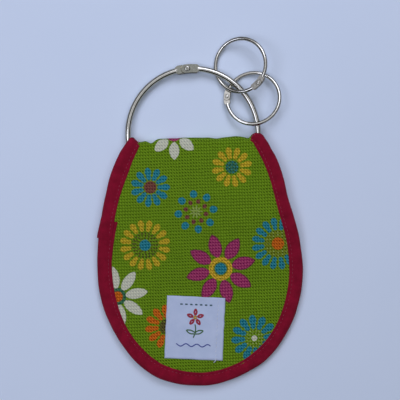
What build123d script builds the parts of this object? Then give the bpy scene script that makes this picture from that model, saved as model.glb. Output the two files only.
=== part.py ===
"""Wristlet keychain: a padded fabric cover folded over a large hinged ring, with two small hinged key rings.

Frame: millimetres, +Z up from the surface that the keychain lies on. The origin is the middle of its
footprint. +Y points from the cover's round bottom towards the wrist ring's hinge, +X to the key rings' side.
"""

import os
from math import acos, asin, cos, degrees, radians, sin

from build123d import *

# ---- Driving dimensions -------------------------------------------------------------------------

# wrist ring: a 3 inch hinged ring
WRIST_BORE = 76.0
WRIST_WIRE = 3.5
WRIST_X = -1.8
WRIST_Y = 47.7
WRIST_HINGE_ANGLE = 93.3

# key rings: two 30 mm hinged rings of one pattern
KEY_BORE = 30.0
KEY_WIRE = 2.3
UPPER_KEY_CENTRE = (30.1, 40.6, 7.33)
UPPER_KEY_SLOPE = (0.41, -0.005)
UPPER_KEY_HINGE_ANGLE = -44.0
LOWER_KEY_CENTRE = (37.4, 20.4, 5.03)
LOWER_KEY_SLOPE = (0.147, -0.189)
LOWER_KEY_HINGE_ANGLE = 172.5

# fits of the rings
RUNNING_GAP = 0.05
LEAF_GAP = 0.06
TONGUE_GAP = 0.15
HEAD_GAP = 0.03
LEAF_CHAMFER = 0.16
LEAF_SHOULDER = 0.8

# cover: thickness of each layer
CANVAS_T = 0.4
PADDING_T = 1.2
LINING_T = 0.3
BINDING_T = 0.35
WIRE_GAP = 0.1

# cover: outline, with lengths counted down from the fold's axis
FOLD_BELOW_RING = 6.6
COVER_LENGTH = 146.7
COVER_HALF_WIDTH = 62.4
WIDEST_BELOW_FOLD = 75.0
SIDE_R = 160.0
BOTTOM_R = 60.0
BINDING_WIDTH = 8.0

# front flap: where it comes down from the ring to the back flap
SAG_START = -38.0
SAG_END = -84.0
CLOSED_GAP = 0.4

# binding joint, stitches and label
JOINT_Y = -49.4
JOINT_LENGTH = 12.0
JOINT_T = 0.3
STITCH_PITCH = 2.6
STITCH_LENGTH = 1.9
STITCH_WIDTH = 0.4
STITCH_HEIGHT = 0.2
STITCH_INSET = 1.8
STITCH_RISE = 0.03
LABEL_SIZE = (35.0, 38.0)
LABEL_T = 0.3
LABEL_CENTRE = (-4.3, -112.1)
LABEL_TURN = -4.7
LABEL_STITCH_X = (-16.2, 13.4)

# ---- Sizes worked out from them -----------------------------------------------------------------

STACK_T = CANVAS_T + PADDING_T + LINING_T
FLAP_T = STACK_T + 2 * BINDING_T
WRIST_Z = FLAP_T + WIRE_GAP + WRIST_WIRE / 2
COVER_TOP = 2 * WRIST_Z
FOLD_Y = WRIST_Y - FOLD_BELOW_RING
FRONT_FACE_Z = COVER_TOP - FLAP_T
SAG_DEPTH = FRONT_FACE_Z - FLAP_T - CLOSED_GAP
FAR = 80.0

# the shoulder arc joins the side arc at the widest place and the bottom arc, tangent to both
ROUND_DEPTH = COVER_LENGTH - WIDEST_BELOW_FOLD
SHOULDER_R = (COVER_HALF_WIDTH**2 + (ROUND_DEPTH - BOTTOM_R) ** 2 - BOTTOM_R**2) / (
    2 * (COVER_HALF_WIDTH - BOTTOM_R)
)
SHOULDER_TURN = degrees(acos((SHOULDER_R - COVER_HALF_WIDTH) / (SHOULDER_R - BOTTOM_R)))
OUTLINE_TOP = 20.0


def export_piece(part, name):
    """Writes one finished sub-part as a STEP file named after its node."""
    part.label = name
    export_step(part, f"parts/{name}.step")


# ---- Hinged rings -------------------------------------------------------------------------------


class HingedRing:
    """A ring of two half circles of wire, riveted at local angle 0 and lapped at local angle 180.
    leaf is the hinge leaf's width, its reach past the rivet, and its length to the wire."""

    def __init__(self, centre, slope, hinge_angle, bore, wire, leaf, rivet_r, head_h):
        leaf_width, leaf_reach, leaf_tail = leaf
        normal = Vector(-slope[0], -slope[1], 1).normalized()
        hinge_way = Vector(cos(radians(hinge_angle)), sin(radians(hinge_angle)), 0)
        hinge_way = (hinge_way - normal * hinge_way.dot(normal)).normalized()
        self.plane = Plane(origin=centre, x_dir=hinge_way, z_dir=normal)
        self.axis = Axis(self.plane.origin, self.plane.z_dir)
        self.wire_r = wire / 2
        self.radius = (bore + wire) / 2
        self.leaf_r = leaf_width / 2
        self.leaf_angle = degrees(leaf_tail / self.radius)
        self.eye_angle = degrees((leaf_reach - self.leaf_r) / self.radius)
        self.clear_r = leaf_reach + 0.15
        self.leaf_t = 0.92 * self.wire_r
        self.tongue = 1.1 * wire
        self.rivet_r = rivet_r
        self.head_r = 1.75 * rivet_r
        self.head_h = head_h

    def section(self, angle):
        """The plane across the wire at an angle round the ring, with its y axis along the ring's axis."""
        radial = self.plane.x_dir.rotate(Axis((0, 0, 0), self.plane.z_dir), angle)
        tangent = self.plane.z_dir.cross(radial)
        return Plane(origin=self.plane.origin + radial * self.radius, x_dir=radial, z_dir=-tangent)

    def at(self, radius, angle):
        """A point of the ring's plane, in its local coordinates."""
        return (radius * cos(radians(angle)), radius * sin(radians(angle)))

    def along(self, side, angle):
        """The direction round the ring at an angle, in its local coordinates."""
        return (-side * sin(radians(angle)), side * cos(radians(angle)))


def leaf_face(ring, side):
    """The outline of a hinge leaf: a round end past the rivet, and shoulders that narrow to the wire."""
    start = -side * ring.eye_angle
    end = side * ring.leaf_angle
    shoulder = LEAF_SHOULDER * end
    edges, ends = [], []
    with BuildSketch(ring.plane.offset(-ring.leaf_t)) as leaf:
        with BuildLine():
            for way in (1, -1):
                edge = Spline(
                    ring.at(ring.radius + way * ring.leaf_r, start),
                    ring.at(ring.radius + way * 0.97 * ring.leaf_r, shoulder),
                    tangents=(ring.along(side, start), ring.along(side, shoulder)),
                )
                root = Line(edge @ 1, ring.at(ring.radius + way * 0.97 * ring.wire_r, end))
                edges.append(edge)
                ends.append(root @ 1)
            Line(*ends)
            tip = Vector(*ring.at(ring.radius, start)) - Vector(*ring.along(side, start)) * ring.leaf_r
            ThreePointArc(edges[0] @ 0, tip, edges[1] @ 0)
        make_face()
    return leaf.sketch


def half_ring(ring, side, lap, hole_r):
    """One half of a hinged ring. side is +1 for the half on the local +y side and -1 for the other.
    lap is +1 where its hinge leaf and latch tongue lie on top, and -1 where they lie underneath."""
    leaf = leaf_face(ring, side)
    with BuildPart() as half:
        # hinge leaf
        add(leaf)
        extrude(amount=2 * ring.leaf_t, dir=ring.plane.z_dir)
        rims = half.faces().filter_by(Axis((0, 0, 0), ring.plane.z_dir)).edges()
        chamfer(rims.filter_by(GeomType.LINE, reverse=True), length=LEAF_CHAMFER * ring.wire_r)
        # the other half's eye turns in the cut-away half of the leaf
        with BuildSketch(ring.plane.offset(lap * LEAF_GAP / 2)):
            with Locations((ring.radius, 0)):
                Circle(ring.clear_r)
        extrude(amount=-lap * 2 * ring.wire_r, mode=Mode.SUBTRACT)
        # wire, from inside the leaf to the far end of the latch tongue
        start = side * ring.leaf_angle * 0.9
        reach = 180 - ring.leaf_angle * 0.9 + degrees((ring.tongue / 2 - TONGUE_GAP) / ring.radius)
        with BuildSketch(ring.section(start)):
            Circle(ring.wire_r)
        revolve(axis=ring.axis, revolution_arc=side * reach)
        # rivet hole
        with BuildSketch(ring.plane.offset(-2 * ring.wire_r)):
            with Locations((ring.radius, 0)):
                Circle(hole_r)
        extrude(amount=4 * ring.wire_r, mode=Mode.SUBTRACT)
        # latch: the two tongues lap at mid thickness
        with BuildSketch(ring.plane.offset(lap * LEAF_GAP / 2)):
            with Locations((-ring.radius, 0)):
                Rectangle(6 * ring.wire_r, ring.tongue)
        extrude(amount=-lap * 2 * ring.wire_r, mode=Mode.SUBTRACT)
    return half.part


def hinge_rivet(ring):
    """The rivet through both leaves, with a domed head at each end."""
    seat = ring.leaf_t + HEAD_GAP
    with BuildPart() as rivet:
        with BuildSketch(ring.plane.offset(-seat)):
            with Locations((ring.radius, 0)):
                Circle(ring.rivet_r)
        extrude(amount=2 * seat)
        for way in (1, -1):
            with BuildSketch(ring.plane.offset(way * seat)):
                with Locations((ring.radius, 0)):
                    Circle(ring.head_r)
            extrude(amount=way * ring.head_h)
        rims = rivet.edges().filter_by(GeomType.CIRCLE).sort_by(ring.axis)
        fillet([rims[0], rims[-1]], radius=0.85 * ring.head_h)
    return rivet.part


WRIST_RING = HingedRing(
    centre=(WRIST_X, WRIST_Y, WRIST_Z),
    slope=(0.0, 0.0),
    hinge_angle=WRIST_HINGE_ANGLE,
    bore=WRIST_BORE,
    wire=WRIST_WIRE,
    leaf=(5.6, 4.0, 7.2),
    rivet_r=1.0,
    head_h=1.0,
)


def key_ring(centre, slope, hinge_angle):
    """A key ring whose centre is given from the wrist ring's centre, at its height above the surface."""
    return HingedRing(
        centre=(WRIST_X + centre[0], WRIST_Y + centre[1], centre[2]),
        slope=slope,
        hinge_angle=hinge_angle,
        bore=KEY_BORE,
        wire=KEY_WIRE,
        leaf=(4.0, 2.5, 5.0),
        rivet_r=0.7,
        head_h=0.7,
    )


# the fixed half of each ring holds the rivet, and its gate half turns on it
RINGS = {
    "wrist_ring": (WRIST_RING, 1, -1),
    "upper_key_ring": (key_ring(UPPER_KEY_CENTRE, UPPER_KEY_SLOPE, UPPER_KEY_HINGE_ANGLE), -1, 1),
    "lower_key_ring": (key_ring(LOWER_KEY_CENTRE, LOWER_KEY_SLOPE, LOWER_KEY_HINGE_ANGLE), -1, 1),
}

# ---- Fabric cover -------------------------------------------------------------------------------


def outline_sketch(inset=0.0):
    """A flap's outline, or that outline moved inwards. It runs on above the fold, past the cover's top."""
    side_r = SIDE_R - inset
    side_turn = degrees(asin((WIDEST_BELOW_FOLD + OUTLINE_TOP) / SIDE_R))
    with BuildSketch() as sketch:
        with BuildLine():
            bottom = JernArc((0, FOLD_Y - COVER_LENGTH + inset), (1, 0), BOTTOM_R - inset, 90 - SHOULDER_TURN)
            shoulder = JernArc(bottom @ 1, bottom % 1, SHOULDER_R - inset, SHOULDER_TURN)
            side = JernArc(shoulder @ 1, shoulder % 1, side_r, side_turn)
            Line(side @ 1, (0, (side @ 1).Y))
            mirror(about=Plane.YZ)
        make_face()
    return sketch.sketch


def front_line(height):
    """The front flap's side view at a height above the surface: level over the ring, then sagging."""
    low = height - SAG_DEPTH
    bottom = FOLD_Y - COVER_LENGTH - 5
    return [(FOLD_Y, height), (FOLD_Y + SAG_START, height), (FOLD_Y + SAG_END, low), (bottom, low)]


def front_layer(z_low, z_high):
    """The slab of the front flap between two heights, wide enough to be cut to any outline."""
    lower, upper = front_line(z_low), front_line(z_high)
    with BuildPart() as slab:
        with BuildSketch(Plane.YZ.offset(-FAR)):
            with BuildLine():
                for line in (lower, upper):
                    Line(line[0], line[1])
                    Spline(line[1], line[2], tangents=((-1, 0), (-1, 0)))
                    Line(line[2], line[3])
                Line(lower[0], upper[0])
                Line(lower[3], upper[3])
            make_face()
        extrude(amount=2 * FAR)
    return slab.part


def back_layer(z_low, z_high):
    """The slab of the back flap between two heights, with the half round of the fold at its top end."""
    outer = WRIST_Z - z_low
    inner = WRIST_Z - z_high
    bottom = FOLD_Y - COVER_LENGTH - 5
    with BuildPart() as slab:
        with BuildSketch(Plane.YZ.offset(-FAR)):
            with BuildLine():
                CenterArc((FOLD_Y, WRIST_Z), outer, -90, 180)
                CenterArc((FOLD_Y, WRIST_Z), inner, -90, 180)
                Line((FOLD_Y, WRIST_Z + inner), (FOLD_Y, WRIST_Z + outer))
                Line((FOLD_Y, z_low), (bottom, z_low))
                Line((bottom, z_low), (bottom, z_high))
                Line((bottom, z_high), (FOLD_Y, z_high))
            make_face()
        extrude(amount=2 * FAR)
    return slab.part


def outline_prism(inset=0.0):
    """The outline as a solid through the cover's whole height."""
    outline = outline_sketch(inset)
    with BuildPart() as solid:
        add(outline)
        extrude(amount=2 * COVER_TOP, both=True)
    return solid.part


def ring_passages():
    """The space at each end of the fold where the wrist ring's wire runs in between the flaps."""
    inner = WRIST_BORE / 2 - 0.6
    with BuildPart() as passages:
        with BuildSketch(Plane.XY.offset(FLAP_T)):
            for side in (-1, 1):
                with Locations((WRIST_X + side * (inner + FAR) / 2, FOLD_Y)):
                    Rectangle(FAR - inner, 8 * FLAP_T)
        extrude(amount=FRONT_FACE_Z - FLAP_T)
    return passages.part


def cut_to_cover(slab, prism, back):
    """A layer's slab cut to its outline, and on the back flap opened where the ring passes."""
    passages = ring_passages()
    with BuildPart() as layer:
        add(slab)
        add(prism, mode=Mode.INTERSECT)
        if back:
            add(passages, mode=Mode.SUBTRACT)
    return layer.part


def slab_between(back, from_outside, thickness):
    """A slab of either flap, counted inwards from the flap's outer face."""
    if back:
        return back_layer(from_outside, from_outside + thickness)
    return front_layer(COVER_TOP - from_outside - thickness, COVER_TOP - from_outside)


def make_layers(back):
    """The canvas, padding and lining of one flap, cut so that the binding wraps their edge."""
    wrapped = outline_prism(BINDING_T)
    canvas = slab_between(back, BINDING_T, CANVAS_T)
    padding = slab_between(back, BINDING_T + CANVAS_T, PADDING_T)
    lining = slab_between(back, BINDING_T + CANVAS_T + PADDING_T, LINING_T)
    return {
        "outer_fabric": cut_to_cover(canvas, wrapped, back),
        "padding": cut_to_cover(padding, wrapped, back),
        "lining": cut_to_cover(lining, wrapped, back),
    }


def binding_joint():
    """The tape's folded end, lapped over its start on the left side of the front flap."""
    raised = front_layer(COVER_TOP, COVER_TOP + JOINT_T)
    outer = outline_prism()
    inner = outline_prism(BINDING_WIDTH)
    with BuildPart() as joint:
        add(raised)
        add(outer, mode=Mode.INTERSECT)
        add(inner, mode=Mode.SUBTRACT)
        with Locations((-FAR / 2, FOLD_Y + JOINT_Y, COVER_TOP)):
            Box(FAR, JOINT_LENGTH, 2 * COVER_TOP, mode=Mode.INTERSECT)
    return joint.part


def make_binding(back, stitches):
    """The tape folded round the edge of one flap: two strips joined by the turn round the edge.
    The back flap's stitches are pulled down flush into the tape, so that it lies flat."""
    whole = cut_to_cover(slab_between(back, 0, FLAP_T), outline_prism(), back)
    core = cut_to_cover(slab_between(back, BINDING_T, STACK_T), outline_prism(BINDING_T), False)
    middle = outline_prism(BINDING_WIDTH)
    joint = None if back else binding_joint()
    with BuildPart() as binding:
        add(whole)
        add(middle, mode=Mode.SUBTRACT)
        add(core, mode=Mode.SUBTRACT)
        if back:
            add(stitches, mode=Mode.SUBTRACT)
        else:
            add(joint)
    return binding.part


def sag_at(y):
    """How far the front flap has come down at a place along the cover, and how steeply it falls there."""
    share = (FOLD_Y + SAG_START - y) / (SAG_START - SAG_END)
    share = min(1.0, max(0.0, share))
    depth = SAG_DEPTH * share * share * (3 - 2 * share)
    fall = SAG_DEPTH * 6 * share * (1 - share) / (SAG_START - SAG_END)
    return depth, fall


def make_stitches(back):
    """The row of stitches that holds the binding, each stitch its own solid."""
    seam = outline_sketch(BINDING_WIDTH - STITCH_INSET).wires()[0]
    count = int(seam.length / STITCH_PITCH)
    places = []
    for i in range(count):
        point = seam.position_at((i + 0.5) / count)
        way = seam.tangent_at((i + 0.5) / count)
        if point.Y > FOLD_Y - STITCH_LENGTH:
            continue
        depth, fall = (0.0, 0.0) if back else sag_at(point.Y)
        height = STITCH_HEIGHT / 2 if back else COVER_TOP - depth + STITCH_HEIGHT / 2 + STITCH_RISE
        from_joint = abs(point.Y - FOLD_Y - JOINT_Y)
        if not back and point.X < 0 and from_joint < (JOINT_LENGTH + STITCH_PITCH) / 2:
            height += JOINT_T
        along = Vector(way.X, way.Y, way.Y * fall)
        across = Vector(-way.Y, way.X, 0)
        places.append(Plane(origin=(point.X, point.Y, height), x_dir=along, z_dir=along.cross(across)))
    with BuildPart() as stitches:
        with Locations(places):
            Box(STITCH_LENGTH, STITCH_WIDTH, STITCH_HEIGHT)
    return stitches.part


def label_plane(height):
    """The label's own plane, at a height above the front flap's canvas."""
    face = COVER_TOP - BINDING_T - SAG_DEPTH + height
    return Plane(origin=(LABEL_CENTRE[0], FOLD_Y + LABEL_CENTRE[1], face)).rotated((0, 0, LABEL_TURN))


def make_label():
    """The woven label, laid on the front flap's canvas."""
    with BuildPart() as label:
        with BuildSketch(label_plane(0)):
            RectangleRounded(*LABEL_SIZE, radius=0.6)
        extrude(amount=LABEL_T)
    return label.part


def make_label_stitches():
    """The two rows of stitches down the label's sides."""
    count = int((LABEL_SIZE[1] - 2) / STITCH_PITCH)
    with BuildPart() as stitches:
        with BuildSketch(label_plane(LABEL_T)):
            for x in LABEL_STITCH_X:
                with Locations((x, 0)):
                    with GridLocations(0, STITCH_PITCH, 1, count):
                        Rectangle(STITCH_WIDTH, STITCH_LENGTH)
        extrude(amount=STITCH_HEIGHT)
    return stitches.part


# ---- Build --------------------------------------------------------------------------------------


def main():
    os.makedirs("parts", exist_ok=True)
    for name, (ring, side, lap) in RINGS.items():
        export_piece(half_ring(ring, side, lap, ring.rivet_r), f"{name}_fixed_half")
        export_piece(half_ring(ring, -side, -lap, ring.rivet_r + RUNNING_GAP), f"{name}_gate_half")
        export_piece(hinge_rivet(ring), f"{name}_rivet")
    for back, flap in ((True, "back"), (False, "front")):
        for name, layer in make_layers(back).items():
            export_piece(layer, f"{name}_{flap}")
        stitches = make_stitches(back)
        export_piece(make_binding(back, stitches), f"binding_{flap}")
        export_piece(stitches, f"binding_stitches_{flap}")
    export_piece(make_label(), "label")
    export_piece(make_label_stitches(), "label_stitches")


main()
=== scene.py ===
"""Wristlet keychain: a padded cover folded over a large hinged ring, with two small hinged rings.

The cover is modelled flat and then folded. A point of the cloth has three coordinates in
millimetres: x across the cover, s along it, and h outwards from the middle of its thickness. s is
0 where the front flap meets the fold, negative down the front flap, and past FOLD_LENGTH down the
back flap. fold_up() puts it in the frame.
"""

import math

import bpy
import numpy as np
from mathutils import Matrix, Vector


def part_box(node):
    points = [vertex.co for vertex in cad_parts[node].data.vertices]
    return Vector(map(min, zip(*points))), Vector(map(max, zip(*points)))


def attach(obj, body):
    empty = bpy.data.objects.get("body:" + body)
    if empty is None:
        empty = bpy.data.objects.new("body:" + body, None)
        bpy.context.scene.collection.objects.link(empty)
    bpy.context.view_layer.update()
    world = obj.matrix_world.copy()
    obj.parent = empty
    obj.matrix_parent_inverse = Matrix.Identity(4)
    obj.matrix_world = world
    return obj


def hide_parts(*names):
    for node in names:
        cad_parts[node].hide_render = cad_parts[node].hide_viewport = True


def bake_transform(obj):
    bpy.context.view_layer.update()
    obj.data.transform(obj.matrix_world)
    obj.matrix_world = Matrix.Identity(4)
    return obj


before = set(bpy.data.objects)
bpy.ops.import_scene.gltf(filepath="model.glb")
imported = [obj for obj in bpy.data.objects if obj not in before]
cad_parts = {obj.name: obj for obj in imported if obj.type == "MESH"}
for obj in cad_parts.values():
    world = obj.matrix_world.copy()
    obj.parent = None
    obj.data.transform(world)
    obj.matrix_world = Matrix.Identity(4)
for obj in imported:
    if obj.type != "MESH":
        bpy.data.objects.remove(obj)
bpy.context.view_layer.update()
MM = 0.001

# ---- Sizes, in millimetres ----

# the wrist ring and the cover, from the frame. COVER_TOP takes in the tape's lapped end
WIRE_R = 1.75
WIRE_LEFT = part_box("wrist_ring_fixed_half")[0][0] / MM
WIRE_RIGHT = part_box("wrist_ring_gate_half")[1][0] / MM
WIRE_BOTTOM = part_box("wrist_ring_gate_half")[0][1] / MM
RING_X = (WIRE_LEFT + WIRE_RIGHT) / 2
RING_OUTER_R = (WIRE_RIGHT - WIRE_LEFT) / 2
RING_R = RING_OUTER_R - WIRE_R
RING_Y = WIRE_BOTTOM + RING_OUTER_R
FOLD_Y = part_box("outer_fabric_front")[1][1] / MM
COVER_LENGTH = FOLD_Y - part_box("binding_back")[0][1] / MM
COVER_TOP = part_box("binding_front")[1][2] / MM
HALF_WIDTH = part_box("binding_back")[1][0] / MM

# cover outline: a side arc, a shoulder arc and a bottom arc, tangent to each other
WIDEST = 75.0
SIDE_R = 160.0
BOTTOM_R = 60.0
ROUND_DEPTH = COVER_LENGTH - WIDEST
SHOULDER_R = HALF_WIDTH**2 + (ROUND_DEPTH - BOTTOM_R) ** 2 - BOTTOM_R**2
SHOULDER_R /= 2 * (HALF_WIDTH - BOTTOM_R)
SHOULDER_TURN = math.acos((SHOULDER_R - HALF_WIDTH) / (SHOULDER_R - BOTTOM_R))

# cover thickness. CLOTH_H is how far the canvas's outer face and the lining's inner face are from
# the flap's middle before any padding
FLAP_T = 2.6
HALF_T = FLAP_T / 2
CLOTH_H = 0.95
CANVAS_T = 0.4
LINING_T = 0.3

# the fold, at the middle of the flap's thickness
FOLD_R = COVER_TOP / 2 - HALF_T
FOLD_LENGTH = math.pi * FOLD_R
FOLD_MIDDLE = FOLD_LENGTH / 2

# past the ring the front flap comes down until a gap is left over the back flap
SAG_START = -38.0
SAG_END = -84.0
FLAP_GAP = 0.4
SAG_DEPTH = COVER_TOP - 2 * FLAP_T - FLAP_GAP

# binding tape: its width on each face, and how far inside its outer edge the canvas ends, on a flap
# and on the fold
TAPE_WIDTH = 8.2
CANVAS_INSET = 4.6
FOLD_INSET = 7.0

# the tape starts at the first s, a little wider, and its end laps over it down to the second
TAPE_OVERLAP = (-43.3, -55.5)
LAP_LIFT = 0.36
START_FLARE = 2.2
START_FLARE_LENGTH = 26.0

# the step between the outline's points, and the seam: its share of the way across the tape
EDGE_STEP = 1.2
SEAM_SHARE = 0.225
STITCH_PITCH = 2.4

# batting: its distance below the canvas's outer face and over the lining's inner face
BATTING_BELOW = 0.48
BATTING_OVER = 0.12

# label
LABEL_CENTRE = (-4.4, -112.0)
LABEL_TURN = math.radians(-4.3)
LABEL_WIDTH = 35.5
LABEL_HEIGHT = 38.3
LABEL_T = 0.30

# the mesh of the cover's sheets: rows on each flap, rows on the fold with its ends, and columns
FLAP_ROWS = 118
FOLD_ROWS = 28
COLUMNS = 76

# where the cloth dips along the fold: x, half width, depth
FOLD_DIPS = (
    (-27.5, 2.6, 2.4),
    (-34.0, 4.5, 1.2),
    (12.0, 4.5, 0.9),
    (33.5, 4.5, 1.3),
    (0.0, 60.0, 0.6),
)

# where the handmade outline strays from its arcs: x, s, width, and how far outwards the tape's
# outer and inner edges go
STRAYS = (
    (-50.0, -14.0, 13.0, 1.5, -0.5),
    (-62.4, -80.0, 24.0, 0.6, -0.3),
    (-26.0, -141.0, 20.0, 2.0, 1.2),
    (2.0, -147.0, 16.0, 0.6, 0.9),
    (55.5, -38.0, 19.0, -2.3, -2.0),
    (62.4, -82.0, 22.0, 0.6, 0.3),
)

# beside the fold the cloth lies flat over and under the wire as an ear, from EAR_START to EAR_FULL
# from the ring's middle. the notch between the two ears is NOTCH from it
EAR_START = 33.0
EAR_FULL = 37.4
EAR_STRETCH = 1.15
EAR_DROOP = 0.004
NOTCH = 36.2

# the tape's outer edge round each ear: x outwards from the cover's middle line, and s
LEFT_EAR = ((46.8, -4.2), (43.9, 0.0), (42.2, 2.2), (40.9, 3.7), (39.9, 4.4), (38.9, 4.75))
RIGHT_EAR = ((45.6, -4.2), (43.5, 0.2), (42.4, 1.5), (40.9, 3.6), (39.1, 4.75))
RIGHT_EAR += ((37.4, 4.9), (35.9, 4.94))


def smooth(value, low, high):
    """0 below low, 1 above high, and smooth in between."""
    t = np.clip((np.asarray(value, float) - low) / (high - low), 0, 1)
    return t * t * (3 - 2 * t)


def ripple(x, y, seed, size):
    """Smooth waves between about -1 and 1, about size long. The same seed gives the same waves."""
    rng = np.random.default_rng(seed)
    total = np.zeros(np.broadcast(x, y).shape)
    for k in range(9):
        angle, phase = rng.uniform(0, 2 * math.pi, 2)
        wave = 2 * math.pi / (size * rng.uniform(0.6, 1.7))
        total += np.sin(wave * (x * math.cos(angle) + y * math.sin(angle)) + phase)
    return total / 4.0


def as_front(s):
    """s on the front flap, and past the fold's middle the s of the same place on the front."""
    s = np.asarray(s, float)
    return np.where(s > FOLD_MIDDLE, FOLD_LENGTH - s, s)


def half_width(s, inset=0.0):
    """Half the cover's width at s on a flap, or on the fold between them."""
    down = as_front(s)
    drop = down + WIDEST
    side = HALF_WIDTH - SIDE_R + np.sqrt(np.maximum((SIDE_R - inset) ** 2 - drop**2, 0))
    shoulder = HALF_WIDTH - SHOULDER_R + np.sqrt(np.maximum((SHOULDER_R - inset) ** 2 - drop**2, 0))
    depth = down + COVER_LENGTH - BOTTOM_R
    bottom = np.sqrt(np.maximum((BOTTOM_R - inset) ** 2 - depth**2, 0))
    turn_y = -WIDEST - SHOULDER_R * math.sin(SHOULDER_TURN)
    return np.where(down > -WIDEST, side, np.where(down > turn_y + inset, shoulder, bottom))


def edge_path():
    """Half of the outline from the bottom to the fold's middle: places (x, s) and ways outwards."""
    rows = []
    turn = math.pi / 2 - SHOULDER_TURN
    for a in np.linspace(0, turn, int(BOTTOM_R * turn / EDGE_STEP), endpoint=False):
        rows.append((BOTTOM_R * math.sin(a), -COVER_LENGTH + BOTTOM_R * (1 - math.cos(a)), a))
    count = int(SHOULDER_R * SHOULDER_TURN / EDGE_STEP)
    for a in np.linspace(turn, math.pi / 2, count, endpoint=False):
        x = HALF_WIDTH - SHOULDER_R * (1 - math.sin(a))
        rows.append((x, -WIDEST - SHOULDER_R * math.cos(a), a))
    end = math.pi / 2 + math.asin((WIDEST + FOLD_MIDDLE) / SIDE_R)
    for a in np.linspace(math.pi / 2, end, int(SIDE_R * (end - math.pi / 2) / EDGE_STEP)):
        rows.append((HALF_WIDTH - SIDE_R * (1 - math.sin(a)), -WIDEST - SIDE_R * math.cos(a), a))
    rows = np.array(rows)
    outward = np.stack([np.sin(rows[:, 2]), -np.cos(rows[:, 2])], 1)
    return rows[:, :2], outward


def sag(s):
    """How far the front flap comes down towards the back flap past the ring."""
    share = np.clip((SAG_START - np.minimum(s, 0)) / (SAG_START - SAG_END), 0, 1)
    return SAG_DEPTH * share * share * (3 - 2 * share)


def as_arrays(*values):
    return np.broadcast_arrays(*(np.asarray(value, float) for value in values))


def fold_up(x, s, h):
    """Cloth coordinates to places in the frame, in metres. Beside the fold the cloth lies flat."""
    x, s, h = as_arrays(x, s, h)
    turn = np.clip(s / FOLD_R, 0, math.pi)
    front, back = np.minimum(s, 0), np.maximum(s - FOLD_LENGTH, 0)
    dip = sum(depth * np.exp(-(((x - at) / wide) ** 2)) for at, wide, depth in FOLD_DIPS)
    y = FOLD_Y + front - back + (FOLD_R + h - dip) * np.sin(turn)
    z = COVER_TOP / 2 + (FOLD_R + h) * np.cos(turn) - sag(s)
    inwards = as_front(s)
    side = np.where(s > FOLD_MIDDLE, -1, 1)
    past = np.maximum(inwards, 0)
    ear_y = FOLD_Y + inwards * np.where(inwards > 0, EAR_STRETCH, 1)
    ear_z = COVER_TOP / 2 + side * (FOLD_R + h - EAR_DROOP * past**2)
    ear = smooth(np.abs(x - RING_X), EAR_START, EAR_FULL) * (past > 0)
    return np.stack([x, y + (ear_y - y) * ear, z + (ear_z - z) * ear], -1) * MM


def from_tape(x, s):
    """How far inside the tape's inner edge a place on the cover is."""
    return np.minimum(half_width(s) - np.abs(x), as_front(s) + COVER_LENGTH) - TAPE_WIDTH


def canvas_h(x, s):
    """The canvas's height. It swells in from the tape, puckers beside it, rises over the wrist
    ring and creases near the fold. On the back flap it is pressed flat against the floor.
    """
    x, s = as_arrays(x, s)
    on_back = s > FOLD_MIDDLE
    down = as_front(s)
    into = from_tape(x, s)
    fill = 1 - np.exp(-np.maximum(into, 0) / 7.0)
    swell = fill * (1.0 + 0.16 * ripple(x, s, 3, 34.0)) + 0.10 * fill * ripple(x, s, 5, 13.0)
    pucker = 0.16 * np.exp(-np.maximum(into, 0) / 5.0) * ripple(x, s, 8, 8.0)
    from_wire = np.hypot(x - RING_X, FOLD_Y + down - RING_Y) - RING_R
    ridge = 0.35 * np.exp(-((from_wire / 3.2) ** 2)) * (down < -4)
    near_fold = np.exp(-np.abs(down) / 9.0)
    creases = 0.35 * near_fold * ripple(x + 0.55 * s, 0.25 * s, 13, 9.0)
    clear = smooth(into, -0.2, 1.8)
    raised = CLOTH_H + (0.75 * swell * (1 - 0.5 * near_fold) + pucker + ridge + creases) * clear
    flat = CLOTH_H + (0.22 * np.clip(swell, 0, 1.4) + 0.3 * creases) * clear
    return np.where(on_back, np.minimum(flat, HALF_T - 0.04), raised)


def lining_h(x, s):
    """The lining's height: nearly flat, and a little deeper into the flap under the tape."""
    clear = smooth(from_tape(x, s), 0.6, 3.2)
    return -CLOTH_H + 0.08 * ripple(x, s, 21, 16.0) * clear + 0.24 * (1 - clear)


def distances(points):
    """How far each place (x, s) of a line is from its start, along the line."""
    return np.concatenate([[0], np.cumsum(np.hypot(*np.diff(points, axis=0).T))])


def smooth_curve(knots, values, at):
    """A smooth curve through values at knots."""
    slopes = np.gradient(values, knots)
    i = np.clip(np.searchsorted(knots, at, side="right") - 1, 0, len(knots) - 2)
    span = knots[i + 1] - knots[i]
    t = (at - knots[i]) / span
    a = (1 + 2 * t) * (1 - t) ** 2 * values[i] + t * (1 - t) ** 2 * span * slopes[i]
    return a + t * t * (3 - 2 * t) * values[i + 1] + t * t * (t - 1) * span * slopes[i + 1]


def smooth_line(knots, points, at):
    """smooth_curve through points, coordinate by coordinate."""
    return np.stack([smooth_curve(knots, values, at) for values in points.T], 1)


# ---- Mesh helpers ----


def new_object(name, vertices, faces, uv=None):
    """A smooth-shaded object from vertices in metres. uv holds one pair for each vertex."""
    mesh = bpy.data.meshes.new(name)
    mesh.from_pydata([tuple(v) for v in vertices], [], faces)
    if uv is not None:
        layer = mesh.uv_layers.new(name="cloth")
        corner = np.zeros(len(mesh.loops), np.int32)
        mesh.loops.foreach_get("vertex_index", corner)
        layer.data.foreach_set("uv", np.asarray(uv, np.float32)[corner].ravel())
    mesh.polygons.foreach_set("use_smooth", [True] * len(mesh.polygons))
    mesh.validate()
    mesh.update()
    obj = bpy.data.objects.new(name, mesh)
    bpy.context.scene.collection.objects.link(obj)
    return obj


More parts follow.
